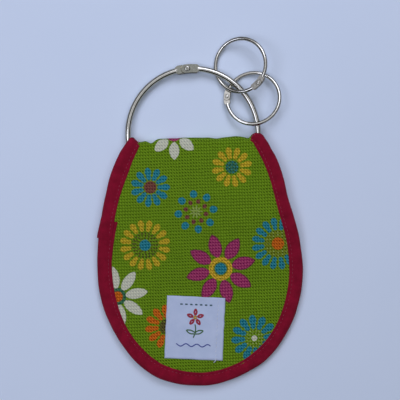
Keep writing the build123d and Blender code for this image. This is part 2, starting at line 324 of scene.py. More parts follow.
def grid_faces(rows, columns, close=False, first=0):
    """Quads of a grid of vertices numbered row by row. close joins the last column to the first."""
    faces = []
    across = columns if close else columns - 1
    for i in range(rows - 1):
        for j in range(across):
            k = (j + 1) % columns
            a, b = first + i * columns + j, first + i * columns + k
            faces.append((a, b, b + columns, a + columns))
    return faces


def tube_faces(rows, columns):
    """Faces of a tube from rows of vertices, with closed ends."""
    faces = grid_faces(rows, columns, close=True)
    faces.append(tuple(range(columns - 1, -1, -1)))
    faces.append(tuple(range((rows - 1) * columns, rows * columns)))
    return faces


def join_meshes(name, parts, uv=False):
    """One object from a list of (vertices, faces, uvs)."""
    vertices, faces, uvs, start = [], [], [], 0
    for part in parts:
        vertices.append(np.asarray(part[0]))
        faces += [tuple(i + start for i in face) for face in part[1]]
        if uv:
            uvs.append(np.asarray(part[2]))
        start += len(part[0])
    return new_object(name, np.concatenate(vertices), faces, np.concatenate(uvs) if uv else None)


def shell_faces(rows, columns):
    """Faces of two grids, outer then inner, joined round their border into one closed sheet."""
    count = rows * columns
    outer = grid_faces(rows, columns)
    inner = [tuple(reversed(face)) for face in grid_faces(rows, columns, first=count)]
    border = [(0, j) for j in range(columns)]
    border += [(i, columns - 1) for i in range(1, rows)]
    border += [(rows - 1, j) for j in range(columns - 2, -1, -1)]
    border += [(i, 0) for i in range(rows - 2, 0, -1)]
    ids = [i * columns + j for i, j in border]
    rim = []
    for a, b in zip(ids, ids[1:] + ids[:1]):
        rim.append((a, a + count, b + count, b))
    return outer + inner + rim


# ---- Materials ----


class Nodes:
    """A node tree, with short calls for the nodes used here."""

    def __init__(self, owner):
        owner.use_nodes = True
        self.tree = owner.node_tree

    def node(self, kind, **settings):
        made = self.tree.nodes.new(kind)
        for key, value in settings.items():
            setattr(made, key, value)
        return made

    def put(self, socket, value):
        if isinstance(value, bpy.types.NodeSocket):
            self.tree.links.new(value, socket)
        else:
            socket.default_value = value

    def math(self, operation, a, b=0.0, c=None, clamp=False):
        made = self.node("ShaderNodeMath", operation=operation, use_clamp=clamp)
        self.put(made.inputs[0], a)
        self.put(made.inputs[1], b)
        if c is not None:
            self.put(made.inputs[2], c)
        return made.outputs[0]

    def add(self, a, b):
        return self.math("ADD", a, b)

    def subtract(self, a, b):
        return self.math("SUBTRACT", a, b)

    def multiply(self, a, b, clamp=False):
        return self.math("MULTIPLY", a, b, clamp=clamp)

    def multiply_add(self, a, b, c):
        """a times b, plus c."""
        return self.math("MULTIPLY_ADD", a, b, c)

    def waves(self, value, pitch):
        """A sine of value, one wave for each pitch."""
        return self.math("SINE", self.multiply(value, 2 * math.pi / pitch))

    def scaled(self, vector, factor):
        """A colour or a vector times a number."""
        made = self.node("ShaderNodeVectorMath", operation="SCALE")
        self.put(made.inputs[0], vector)
        self.put(made.inputs["Scale"], factor)
        return made.outputs[0]

    def mix(self, factor, a, b):
        made = self.node("ShaderNodeMix", data_type="RGBA")
        self.put(made.inputs["Factor"], factor)
        for socket, value in zip((made.inputs[6], made.inputs[7]), (a, b)):
            self.put(socket, (*value, 1.0) if isinstance(value, tuple) else value)
        return made.outputs[2]

    def split(self, vector):
        made = self.node("ShaderNodeSeparateXYZ")
        self.put(made.inputs[0], vector)
        return made.outputs[0], made.outputs[1], made.outputs[2]

    def noise(self, vector, scale, detail=2.0, roughness=0.5):
        made = self.node("ShaderNodeTexNoise")
        self.put(made.inputs["Vector"], vector)
        made.inputs["Scale"].default_value = scale
        made.inputs["Detail"].default_value = detail
        made.inputs["Roughness"].default_value = roughness
        return made.outputs[0]

    def ramp(self, value, low, high):
        """value from low..high to 0..1, clamped and smooth."""
        made = self.node("ShaderNodeMapRange", interpolation_type="SMOOTHSTEP")
        self.put(made.inputs[0], value)
        made.inputs[1].default_value = low
        made.inputs[2].default_value = high
        return made.outputs[0]


class Shader(Nodes):
    """A material's node tree round its one surface."""

    def __init__(self, name):
        self.material = bpy.data.materials.new(name)
        super().__init__(self.material)
        self.bsdf = next(n for n in self.tree.nodes if n.type == "BSDF_PRINCIPLED")

    def cloth(self):
        """Coordinates on the cloth, in millimetres: as a vector, u across it and v along it."""
        uv = self.node("ShaderNodeUVMap", uv_map="cloth").outputs[0]
        return uv, *self.split(uv)[:2]

    def place(self):
        """The object's coordinates, in metres, for what has no cloth coordinates."""
        return self.node("ShaderNodeTexCoord").outputs["Object"]

    def bump(self, height, strength, distance):
        made = self.node("ShaderNodeBump")
        made.inputs["Strength"].default_value = strength
        made.inputs["Distance"].default_value = distance
        self.put(made.inputs["Height"], height)
        self.put(self.bsdf.inputs["Normal"], made.outputs[0])

    def surface(self, **values):
        """Sets the surface's inputs, named with _ for each space, and returns the material."""
        for key, value in values.items():
            self.put(self.bsdf.inputs[key.replace("_", " ")], value)
        return self.material


# the print's inks
LIME = (0.160, 0.305, 0.0045)
WHITE = (0.84, 0.82, 0.60)
YELLOW = (0.70, 0.46, 0.02)
BLUE = (0.002, 0.26, 0.34)
TEAL = (0.028, 0.165, 0.082)
MAROON = (0.23, 0.045, 0.05)
MAGENTA = (0.46, 0.018, 0.155)
PLUM = (0.20, 0.012, 0.06)
GOLD = (0.86, 0.50, 0.03)
ORANGE = (0.78, 0.14, 0.006)
BROWN = (0.10, 0.07, 0.018)
PALE_LIME = (0.36, 0.46, 0.11)
OLIVE_LIME = (0.20, 0.26, 0.010)


def lighter(colour, factor):
    return tuple(min(1, c * factor) for c in colour)


# how sharp the print's edges are: the mask's rise for each millimetre
INK_EDGE = 3.5

# each flower is x, s, and its marks from the lowest up. a disc is (r, colour). a ring of petals is
# (count, inner r, outer r, half width, roundness, colour, turn), where turn is in petals and
# roundness is 0.5 for oval petals and 1 for pointed ones


def lobes(count, inner, outer, colour, turn):
    """A ring of petals, each a broad oval that overlaps a slimmer one inside it."""
    length = outer - inner
    wide = 0.39 * math.pi * (inner + 0.35 * length + outer) / count
    return [
        (count, inner, inner + 0.52 * length, 0.74 * wide, 0.45, colour, turn),
        (count, inner + 0.32 * length, outer, wide, 0.48, colour, turn),
    ]


def dots(count, at, r, colour, turn=0.0):
    """A ring of round dots."""
    return (count, at - r, at + r, r, 0.5, colour, turn)


def dotted_daisy(blue_turn):
    return [
        dots(8, 10.8, 2.35, BLUE, blue_turn),
        dots(8, 6.3, 1.5, MAROON, blue_turn + 0.46),
        (9, 0.3, 4.2, 0.6, 0.5, PALE_LIME, 0.0),
    ]


def big_daisy(turn):
    return [
        (8, 6.4, 21.8, 4.3, 0.85, PLUM, turn),
        (8, 6.8, 20.9, 3.75, 0.85, MAGENTA, turn),
        (7.3, GOLD),
        dots(20, 6.0, 0.42, OLIVE_LIME),
        (4.5, OLIVE_LIME),
        (3.7, BLUE),
    ]


def small_sunflower(turn):
    speckles = [dots(9, 3.1, 0.55, BLUE), dots(4, 1.3, 0.5, BLUE)]
    return lobes(12, 4.9, 12.3, YELLOW, turn) + [(4.1, TEAL)] + speckles


def blue_aster(turn):
    return lobes(11, 4.3, 12.0, BLUE, turn) + [(3.9, MAROON), dots(9, 2.6, 0.4, BROWN)]


def large_sunflower(turn):
    speckles = [dots(21, 7.3, 0.72, BROWN), dots(17, 5.8, 0.68, BROWN), dots(12, 4.3, 0.66, BROWN)]
    return lobes(16, 8.4, 15.4, YELLOW, turn) + speckles + [(3.5, BLUE)]


def lime_eyed_aster(turn):
    speckles = [dots(16, 7.2, 0.5, PALE_LIME), dots(12, 5.4, 0.5, PALE_LIME)]
    return lobes(16, 8.3, 16.0, BLUE, turn) + [(8.3, OLIVE_LIME)] + speckles + [(3.9, ORANGE)]


def star_eyed_aster(turn):
    speckles = [dots(15, 4.9, 0.6, PALE_LIME), dots(10, 3.3, 0.6, PALE_LIME)]
    return lobes(12, 5.6, 14.2, BLUE, turn) + speckles + [(1.9, WHITE)]


def orange_aster(turn):
    return lobes(12, 5.2, 13.6, ORANGE, turn) + [(4.8, BROWN), dots(12, 3.6, 0.5, OLIVE_LIME)]


def white_daisy(count, outer, turn):
    return [(count, 4.6, outer, 3.25, 0.72, WHITE, turn)]


# the daisy that lies across the fold is on both pieces of the canvas
FOLD_DAISY = (-13.5, 5.9, white_daisy(7, 15.0, 0.75) + [(4.4, MAGENTA)])
FRONT_FLOWERS = [
    FOLD_DAISY,
    (21.2, -14.8, small_sunflower(0.67)),
    (-28.7, -25.5, blue_aster(0.03)),
    (-1.5, -41.1, dotted_daisy(0.87)),
    (-33.1, -60.6, large_sunflower(0.6)),
    (12.5, -76.4, big_daisy(0.72)),
    (47.8, -62.1, lime_eyed_aster(0.6)),
    (-50.9, -91.5, white_daisy(8, 18.6, 0.82) + [(5.3, TEAL), (3.3, ORANGE)]),
    (-21.2, -110.8, orange_aster(0.83)),
    (31.7, -119.4, star_eyed_aster(0.87)),
]

# the back flap shows the next stretch of the same printed cloth
BACK_FLOWERS = [
    FOLD_DAISY,
    (-33.0, FOLD_LENGTH + 21.0, small_sunflower(0.2)),
    (26.0, FOLD_LENGTH + 24.0, blue_aster(0.5)),
    (-2.0, FOLD_LENGTH + 45.0, big_daisy(0.4)),
    (-40.0, FOLD_LENGTH + 66.0, lime_eyed_aster(0.3)),
    (35.0, FOLD_LENGTH + 70.0, large_sunflower(0.2)),
    (-6.0, FOLD_LENGTH + 85.0, dotted_daisy(0.1)),
    (-32.0, FOLD_LENGTH + 110.0, white_daisy(8, 18.6, 0.1) + [(5.3, TEAL), (3.3, ORANGE)]),
    (14.0, FOLD_LENGTH + 116.0, orange_aster(0.3)),
    (42.0, FOLD_LENGTH + 101.0, star_eyed_aster(0.3)),
]


def print_flowers(shader, u, v, ground, flowers):
    """Lays the printed flowers over the ground colour."""
    colour = ground
    for x, s, marks in flowers:
        du = shader.subtract(u, x)
        dv = shader.subtract(v, s)
        square = shader.multiply_add(du, du, shader.multiply(dv, dv))
        radius = shader.math("SQRT", square)
        angle = shader.math("ARCTAN2", dv, du)
        for mark in marks:
            if len(mark) == 2:
                disc_radius, ink = mark
                inside = shader.subtract(disc_radius, radius)
                mask = shader.multiply(inside, INK_EDGE, clamp=True)
                colour = shader.mix(mask, colour, ink)
                continue
            count, inner, outer, wide, roundness, ink, turn = mark
            per_turn = count / (2 * math.pi)
            turns = shader.multiply_add(angle, per_turn, turn)
            off = shader.subtract(turns, shader.math("ROUND", turns))
            side = shader.multiply(shader.math("ABSOLUTE", off), radius)
            side = shader.multiply(side, 1 / per_turn)
            length = outer - inner
            along = shader.multiply_add(radius, 2 / length, -(outer + inner) / length)
            left = shader.multiply_add(along, shader.multiply(along, -1), 1)
            left = shader.math("MAXIMUM", left, 0)
            edge = shader.multiply(shader.math("POWER", left, roundness), wide)
            mask = shader.multiply(shader.subtract(edge, side), INK_EDGE, clamp=True)
            colour = shader.mix(mask, colour, ink)
    return colour


# the canvas's threads, in millimetres, and the faint diagonal that their twist makes
COLUMN_PITCH = 1.70
ROW_PITCH = 1.87
TWIST_PITCH = 1.74


def canvas_material(name, flowers):
    """Printed coarse cotton canvas: two sets of threads, and ink that soaks in unevenly."""
    shader = Shader(name)
    uv, u, v = shader.cloth()
    jitter = shader.multiply_add(shader.noise(uv, 1.3, 3.0), 0.9, -0.45)
    drift = shader.multiply_add(shader.noise(uv, 0.22), 1.6, -0.8)
    fading = shader.ramp(shader.noise(uv, 0.09, 4.0), 0.25, 0.75)
    ground = shader.mix(fading, LIME, lighter(LIME, 1.12))
    inked = print_flowers(shader, shader.add(u, jitter), shader.add(v, jitter), ground, flowers)
    bent_u = shader.add(u, drift)
    bent_v = shader.add(v, shader.multiply(drift, 0.8))
    across = shader.waves(bent_u, COLUMN_PITCH)
    along = shader.waves(bent_v, ROW_PITCH)
    slant = shader.multiply(v, 2 * math.pi / ROW_PITCH)
    slant = shader.multiply_add(u, 2 * math.pi / TWIST_PITCH, slant)
    twist = shader.math("SINE", slant)
    fibre = shader.noise(uv, 4.0, 3.0, 0.7)
    row_gap = shader.ramp(along, 0.1, -0.9)
    column_gap = shader.ramp(across, 0.9, -0.5)
    hole = shader.multiply(row_gap, column_gap)
    over = shader.ramp(shader.multiply_add(hole, -1.6, fibre), -0.2, 0.7)
    shade = shader.multiply_add(row_gap, -0.10, 0.66)
    shade = shader.multiply_add(column_gap, -0.11, shade)
    shade = shader.multiply_add(hole, -0.32, shade)
    shade = shader.multiply_add(twist, 0.24, shade)
    shade = shader.multiply_add(fibre, 0.50, shade)
    # only the white ink has this much blue in it. it hides part of the weave
    blueness = shader.split(inked)[2]
    white_ink = shader.multiply(shader.ramp(blueness, 0.40, 0.58), 0.55)
    shade = shader.multiply_add(white_ink, shader.subtract(0.80, shade), shade)
    # painted highlight: where the threads lie over, their colour is mixed a little towards pale
    # lime
    inked_with_highlight = shader.mix(shader.multiply(over, 0.08), inked, (0.55, 0.64, 0.12))
    height = shader.multiply_add(row_gap, -0.35, shader.multiply(fibre, 0.35))
    height = shader.multiply_add(column_gap, -0.3, height)
    height = shader.multiply_add(hole, -0.4, height)
    shader.bump(height, 0.75, 0.00035)
    return shader.surface(
        Base_Color=shader.scaled(inked_with_highlight, shade),
        Roughness=0.95,
        Specular_IOR_Level=0.06,
        Sheen_Weight=0.02,
        Sheen_Roughness=0.6,
    )


def plain_cloth(name, colour, pitch, contrast=0.3):
    """A plain woven cloth in one dye, in uneven patches, darker between its threads."""
    shader = Shader(name)
    uv, u, v = shader.cloth()
    over_under = shader.multiply(shader.waves(u, 2 * pitch), shader.waves(v, 2 * pitch))
    cells = shader.math("ABSOLUTE", over_under)
    patches = shader.ramp(shader.noise(uv, 0.16, 4.0, 0.6), 0.25, 0.8)
    fibre = shader.noise(uv, 3.5, 3.0, 0.7)
    base = shader.mix(patches, lighter(colour, 0.80), lighter(colour, 1.22))
    shade = shader.multiply_add(cells, contrast, 1.0 - contrast * 0.7)
    shade = shader.multiply_add(fibre, 0.3, shader.subtract(shade, 0.15))
    shader.bump(shader.multiply_add(fibre, 0.5, cells), 0.6, 0.00015)
    return shader.surface(
        Base_Color=shader.scaled(base, shade),
        Roughness=0.9,
        Specular_IOR_Level=0.08,
        Sheen_Weight=0.04,
        Sheen_Roughness=0.5,
    )


def thread_material(name, colour):
    """Twisted thread, with a fine diagonal ply."""
    shader = Shader(name)
    x, y, _ = shader.split(shader.scaled(shader.place(), 1 / MM))
    ply = shader.math("SINE", shader.multiply(shader.add(x, y), 14.0))
    tint = shader.ramp(ply, -1.0, 1.0)
    base = shader.mix(tint, lighter(colour, 0.8), lighter(colour, 1.15))
    shader.bump(ply, 0.5, 0.00008)
    return shader.surface(Base_Color=base, Roughness=0.6, Sheen_Weight=0.15)


def nickel_material():
    """Bright nickel plate on wire, with light scuffs and a slightly uneven gloss."""
    shader = Shader("nickel_plate")
    where = shader.place()
    scuffs = shader.noise(where, 900.0, 4.0, 0.65)
    clouds = shader.noise(where, 120.0)
    base = shader.mix(shader.ramp(scuffs, 0.3, 0.75), (0.54, 0.51, 0.43), (0.70, 0.67, 0.58))
    roughness = shader.multiply_add(scuffs, 0.10, 0.04)
    roughness = shader.multiply_add(clouds, 0.04, roughness)
    shader.bump(scuffs, 0.12, 0.00004)
    return shader.surface(
        Base_Color=base,
        Roughness=roughness,
        Metallic=1.0,
        Specular_Tint=(0.22, 0.22, 0.22, 1.0),
    )


def label_material():
    """White woven satin with fine ribs."""
    shader = Shader("label_satin")
    uv, u, v = shader.cloth()
    ribs = shader.waves(v, 0.55)
    warp = shader.waves(u, 0.4)
    cells = shader.multiply_add(ribs, 0.7, shader.multiply(warp, 0.3))
    soil = shader.ramp(shader.noise(uv, 0.12, 4.0, 0.6), 0.3, 0.8)
    fibre = shader.noise(uv, 5.0, 3.0)
    base = shader.mix(soil, (0.55, 0.63, 0.78), (0.62, 0.69, 0.83))
    shade = shader.multiply_add(fibre, 0.25, shader.multiply_add(cells, 0.05, 0.86))
    shader.bump(shader.multiply_add(fibre, 0.6, cells), 0.35, 0.00008)
    return shader.surface(
        Base_Color=shader.scaled(base, shade), Roughness=0.55, Sheen_Weight=0.2
    )


def fleece_material():
    """Matted white fibre for the padding."""
    shader = Shader("batting")
    tufts = shader.noise(shader.place(), 700.0, 6.0, 0.75)
    base = shader.mix(shader.ramp(tufts, 0.3, 0.7), (0.70, 0.70, 0.68), (0.86, 0.86, 0.84))
    shader.bump(tufts, 0.8, 0.0004)
    return shader.surface(Base_Color=base, Roughness=1.0, Sheen_Weight=0.4)


def floor_material():
    """A pale matt surface with a faint mottle."""
    shader = Shader("pale_surface")
    mottle = shader.noise(shader.place(), 14.0, 3.0)
    base = shader.mix(mottle, (0.77, 0.855, 0.95), (0.81, 0.885, 0.965))
    return shader.surface(Base_Color=base, Roughness=0.75, Specular_IOR_Level=0.25)


# ---- Camera, light and floor ----


def set_the_stage():
    """A pale floor, cool soft light from above, and a camera that looks straight down.

    field is how much of the floor the picture shows across, and away is the camera's height.
    """
    scene = bpy.context.scene
    field, away = 0.2448, 0.62
    camera_data = bpy.data.cameras.new("camera")
    camera_data.sensor_width = 36.0
    camera_data.lens = 36.0 * away / field
    camera_data.clip_start = 0.01
    camera = bpy.data.objects.new("camera", camera_data)
    camera.location = (0.0012, 0.0070, away + 0.004)
    camera.rotation_euler = (0.0, 0.0, math.radians(-1.8))
    scene.collection.objects.link(camera)
    scene.camera = camera
    scene.view_settings.view_transform = "Standard"

    reach, below = 3.0, -0.0004
    corners = [(x * reach, y * reach, below) for x, y in ((-1, -1), (1, -1), (1, 1), (-1, 1))]
    floor = new_object("floor", corners, [(0, 1, 2, 3)])
    floor.data.materials.append(floor_material())

    for name, at, size, power in (
        ("window", (0.10, 0.46, 0.56), 0.34, 1.42),
        ("lamp", (-0.33, -0.02, 0.58), 0.26, 0.77),
    ):
        light_data = bpy.data.lights.new(name, "AREA")
        light_data.shape = "SQUARE"
        light_data.size = size
        light_data.energy = power
        light_data.color = (0.69, 0.75, 1.0)
        light = bpy.data.objects.new(name, light_data)
        light.location = at
        light.rotation_euler = (-light.location).to_track_quat("-Z", "Y").to_euler()
        scene.collection.objects.link(light)

    scene.world = bpy.data.worlds.new("soft_room")
    room = Nodes(scene.world)
    background = next(n for n in room.tree.nodes if n.type == "BACKGROUND")
    where = room.node("ShaderNodeTexCoord").outputs["Generated"]

    def patch(direction, low, high, inside, outside):
        """A soft-edged patch of sky round a direction, over the colour outside it."""
        facing = room.node("ShaderNodeVectorMath", operation="DOT_PRODUCT")
        room.put(facing.inputs[0], where)
        room.put(facing.inputs[1], Vector(direction).normalized())
        return room.mix(room.ramp(facing.outputs["Value"], low, high), outside, inside)

    sky = patch((0.0, 0.20, 0.98), 0.70, 0.82, (0.85, 0.88, 1.02), (0.02, 0.02, 0.022))
    sky = patch((0.0, 0.0, 1.0), 0.962, 0.992, (0.34, 0.37, 0.40), sky)
    room.put(background.inputs["Color"], sky)
    room.put(background.inputs["Strength"], 1.0)


# ---- Cover ----


def strip_grid(inset_flap, inset_fold):
    """Rows of (x, s) that fill the cover, from the front flap's bottom round to the back flap's."""
    quarter = np.linspace(0, math.pi / 2, FLAP_ROWS)
    front = -(COVER_LENGTH - inset_flap) * np.cos(quarter)
    across_fold = np.linspace(0, FOLD_LENGTH, FOLD_ROWS)[1:-1]
    s = np.concatenate([front, across_fold, FOLD_LENGTH - front[::-1]])
    near = smooth(as_front(s), -12.0, 1.0)
    flap_width = half_width(s, inset_flap)
    fold_width = half_width(s) - inset_fold
    width = flap_width + (np.minimum(fold_width, flap_width) - flap_width) * near
    x = np.maximum(width, 0.02)[:, None] * np.linspace(-1, 1, COLUMNS)[None, :]
    return x, np.repeat(s[:, None], COLUMNS, 1)


def half_grid(part, inset_flap, inset_fold):
    """The rows of strip_grid on one flap, the fold with the back's. Both have the row s = 0."""
    x, s = strip_grid(inset_flap, inset_fold)
    split = int(np.argmax(s[:, 0] > -1e-9))
    return (x[: split + 1], s[: split + 1]) if part == "front" else (x[split:], s[split:])


def finish_half(piece, part, *nodes):
    """The front half keeps its place, baked into its mesh, and the back half stays with the cover's
    back.
    """
    if part == "front":
        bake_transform(piece)
    else:
        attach(piece, "cover_back")
    if nodes:
        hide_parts(*nodes)


def two_faces(x, s, outer, inner):
    """The places of a sheet's outer and inner face, for shell_faces."""
    return np.concatenate([fold_up(x, s, h).reshape(-1, 3) for h in (outer, inner)])


def make_cloth(name, part, node, height, thickness, material):
    """Half of a sheet of cloth, as a closed thin mesh. height(x, s) is its outer face."""
    x, s = half_grid(part, CANVAS_INSET, FOLD_INSET)
    outer = height(x, s)
    places = two_faces(x, s, outer, outer - thickness)
    uv = np.stack([x.ravel(), s.ravel()], 1)
    cloth = new_object(name, places, shell_faces(*x.shape), np.concatenate([uv, uv]))
    cloth.data.set_sharp_from_angle(angle=math.radians(60))
    cloth.data.materials.append(material)
    finish_half(cloth, part, node)


def make_padding(part):
    """The batting between the canvas and the lining."""
    x, s = half_grid(part, CANVAS_INSET + 0.6, FOLD_INSET + 0.6)
    outer = canvas_h(x, s) - BATTING_BELOW
    inner = np.full_like(outer, -CLOTH_H + BATTING_OVER)
    edge = smooth(1 - np.abs(np.linspace(-1, 1, x.shape[1])), 0.0, 0.03)[None, :]
    middle = (outer + inner) / 2
    outer = middle + (outer - middle) * edge
    inner = middle + (inner - middle) * edge
    places = two_faces(x, s, outer, inner)
    padding = new_object("batting_" + part, places, shell_faces(*x.shape))
    padding.data.materials.append(FLEECE)
    finish_half(padding, part, "padding_" + part)


# ---- Binding tape ----

# the tape's outer face: share of the way from its inner edge to its outer one, and height
TAPE_OUTSIDE = [
    (0.02, 0.72), (-0.012, 0.98), (-0.006, 1.26), (0.04, 1.44), (0.11, 1.44),
    (0.18, 1.30), (0.22, 1.22), (0.27, 1.32), (0.38, 1.55), (0.55, 1.66),
    (0.70, 1.60), (0.82, 1.36), (0.91, 0.98), (0.97, 0.50), (1.0, 0.0),
]
# the same for the tape's inside, next to the cloth
TAPE_LINING = [(0.955, 0.0), (0.93, 0.42), (0.86, 0.70), (0.05, 0.70)]


def tape_profile():
    """The loop of the tape's section: outer face, turn, inner face, and back along its inside."""
    inside = [(f, -min(h, HALF_T)) for f, h in reversed(TAPE_OUTSIDE[:-1])]
    back_in = [(f, -h) for f, h in reversed(TAPE_LINING[1:])]
    return np.array(TAPE_OUTSIDE + inside + back_in + TAPE_LINING)


def ear_line(side, start, count):
    """The tape's outer edge round an ear, from a place on the front flap to the notch."""
    ear = RIGHT_EAR if side > 0 else LEFT_EAR
    points = np.array([start, *ear, (RING_X * side + NOTCH, FOLD_MIDDLE)])
    lengths = distances(points)
    return smooth_line(lengths, points, np.linspace(0, lengths[-1], count))


def tape_side(side):
    """The tape's outer and inner edges on one side, from the bottom to the fold's middle."""
    edge, outward = edge_path()
    outer, inner = edge.copy(), edge - outward * TAPE_WIDTH
    for x, s, width, outer_out, inner_out in STRAYS:
        near = np.exp(-(((edge[:, 0] * side - x) ** 2 + (edge[:, 1] - s) ** 2) / width**2))[:, None]
        outer += outward * near * outer_out
        inner += outward * near * inner_out
    start = int(np.searchsorted(edge[:, 1], -9.0))
    outer[start:] = ear_line(side, outer[start], len(edge) - start)
    inner[:, 0] = np.minimum(inner[:, 0], outer[:, 0] - 1.6)
    outer[:, 0] *= side
    inner[:, 0] *= side
    return outer, inner


def tape_path():
    """The tape's edges all the way round, from its start on the front flap's left side."""

    def to_back(points):
        return np.stack([points[:, 0], FOLD_LENGTH - points[:, 1]], 1)

    outer, inner = [], []
    for side in (1, -1):
        for line, target in zip(tape_side(side), (outer, inner)):
            up_front, down_back = line, to_back(line)[::-1]
            if side > 0:
                target += [up_front, down_back[1:]]
            else:
                target += [down_back[::-1][1:], up_front[::-1][1:-1]]
    outer, inner = np.concatenate(outer), np.concatenate(inner)
    on_left = (outer[:, 0] < 0) & (outer[:, 1] < 0)
    first = int(np.argmax(on_left & (outer[:, 1] < TAPE_OVERLAP[0])))
    outer, inner = np.roll(outer, -first, 0), np.roll(inner, -first, 0)
    lap = int(np.argmax(outer[:, 1] < TAPE_OVERLAP[1]))
    under = inner.copy()
    started = np.arange(len(under)) * np.hypot(*(outer[1] - outer[0]))
    under[:, 0] += START_FLARE * np.clip(1 - started / START_FLARE_LENGTH, 0, 1)
    return np.concatenate([outer, outer[:lap]]), np.concatenate([under, inner[:lap]])


def tape_run(outer, inner, along, first, last):
    """The tape between two places of its path, as (vertices, faces, uvs) with closed ends."""
    profile = tape_profile()
    share, height = profile[:, 0][None, :], profile[:, 1][None, :]
    total = along[-1]
    outer, inner, along = outer[first:last], inner[first:last], along[first:last]
    lapped = smooth(along, total - 13.5, total - 11.0)[:, None]
    wide = 1 + 0.025 * ripple(along, 0, 31, 26.0)[:, None] + 0.035 * lapped
    wide = wide + 0.075 * smooth(along, total - 12.0, total)[:, None]
    flat = inner[:, None, :] + (outer - inner)[:, None, :] * (share * wide)[..., None]
    crown = np.sin(np.clip(share, 0, 1) * math.pi) * (height > 0.8)
    bulge = 0.16 * ripple(along, 0, 33, 9.0)[:, None]
    bulge = bulge + 0.10 * ripple(along, 4.0, 35, 4.5)[:, None]
    raised = height + crown * bulge
    raised = raised + LAP_LIFT * lapped * np.sign(height) * (np.abs(height) > 0.3)
    on_back = flat[..., 1] > FOLD_MIDDLE
    raised = np.where(on_back, np.minimum(raised, HALF_T - 0.01), np.maximum(raised, -HALF_T))
    slack = smooth(-np.abs(flat[..., 1] - FOLD_MIDDLE), -5.5, -2.0)
    raised = np.where(raised < 0, raised * (1 - 0.35 * slack), raised)
    vertices = fold_up(flat[..., 0], flat[..., 1], raised).reshape(-1, 3)
    across = distances(profile * (TAPE_WIDTH, 1.0))
    uv = np.stack(np.broadcast_arrays(along[:, None], across[None, :]), -1).reshape(-1, 2)
    columns = profile.shape[0]
    faces = [tuple(reversed(face)) for face in tube_faces(len(along), columns)]
    return vertices, faces, uv


def make_tape():
    """The binding: one tape folded over the edge all round, its end lapped over its start."""
    outer, inner = tape_path()
    along = distances(outer)
    past_fold = inner[:, 1] >= 0
    leave = int(np.argmax(past_fold))
    back = len(outer) - 1 - int(np.argmax(past_fold[::-1]))
    runs = {
        "front": [(0, leave + 1), (back, len(outer))],
        "back": [(leave, back + 1)],
    }
    for part, places in runs.items():
        meshes = [tape_run(outer, inner, along, *place) for place in places]
        tape = join_meshes("tape_" + part, meshes, uv=True)
        tape.data.set_sharp_from_angle(angle=math.radians(78))
        tape.data.materials.append(BINDING)
        finish_half(tape, part, "binding_" + part)


# ---- Stitches ----


def stitch(centre, direction, normal, length, radius):
    """One stitch: a thread that comes up out of the cloth and goes down again. All in metres."""
    direction = direction / np.linalg.norm(direction)
    across = np.cross(normal, direction)
    across /= np.linalg.norm(across)
    normal = np.cross(direction, across)
    rings, sides = 7, 6
    vertices = []
    for t in np.linspace(-1, 1, rings):
        middle = centre + direction * (t * length / 2) - normal * (radius * 1.7 * t**4)
        size = radius * (1 - 0.35 * t**4)
        for a in np.linspace(0, 2 * math.pi, sides, endpoint=False):
            vertices.append(middle + size * (math.cos(a) * across + 0.8 * math.sin(a) * normal))
    return vertices, tube_faces(rings, sides)


def seam_line():
    """Places on the tape's seam, the ways ahead, how far along it they are, and its length."""
    outer, inner = tape_path()
    line = inner + (outer - inner) * SEAM_SHARE
    along = distances(line)
    at = np.arange(STITCH_PITCH, along[-1] - STITCH_PITCH, STITCH_PITCH)
    points = np.stack([np.interp(at, along, line[:, k]) for k in range(2)], 1)
    ahead = np.stack([np.interp(at + 0.3, along, line[:, k]) for k in range(2)], 1)
    return points, ahead - points, at, along[-1]


def make_binding_stitches():
    """The seam that holds the tape, as it shows on the outer face and on the lining's side."""
    points, ways, at, total = seam_line()
    wobble = 0.12 * ripple(at, 0, 41, 5.0)
    parts = {(part, face): [] for part in ("front", "back") for face in (1, -1)}
    for (x, s), way, shift, place in zip(points, ways, wobble, at):
        unit = way / np.hypot(*way)
        x, s = x - unit[1] * shift, s + unit[0] * shift
        part = "back" if s > 0 else "front"
        for face in (1, -1):
            lapped = LAP_LIFT * float(smooth(place, total - 13.0, total - 11.0))
            h = (1.27 + lapped) if face > 0 else -1.24
            if s > FOLD_MIDDLE and face > 0:
                h = HALF_T - 0.12
            here = fold_up(x, s, h)
            there = fold_up(x + 0.3 * unit[0], s + 0.3 * unit[1], h)
            above = fold_up(x, s, h + 0.3 * face)
            parts[part, face].append(stitch(here, there - here, above - here, 1.5 * MM, 0.15 * MM))
    for (part, face), made in parts.items():
        seam = join_meshes(("seam_outside_" if face > 0 else "seam_inside_") + part, made)
        seam.data.materials.append(SEAM_THREAD)
        finish_half(seam, part, *(["binding_stitches_" + part] if face > 0 else []))


# ---- Label ----


def on_label(a, b):
    """A point of the label, a across and b up from its centre, as cloth coordinates (x, s)."""
    c, k = math.cos(LABEL_TURN), math.sin(LABEL_TURN)
    return LABEL_CENTRE[0] + a * c - b * k, LABEL_CENTRE[1] + a * k + b * c


def label_h(a, b):
    """The height of the label's underside: it follows the canvas and lifts at its free edges."""
    x, s = on_label(a, b)
    free = smooth(np.abs(b), LABEL_HEIGHT / 2 - 5, LABEL_HEIGHT / 2)
    lift = 0.22 * free * (1 + 0.7 * ripple(a, b, 51, 11.0))
    side = smooth(np.abs(a), LABEL_WIDTH / 2 - 1.5, LABEL_WIDTH / 2)
    return canvas_h(x, s) + 0.08 + lift + 0.10 * side * ripple(b, a, 52, 6.0) ** 2


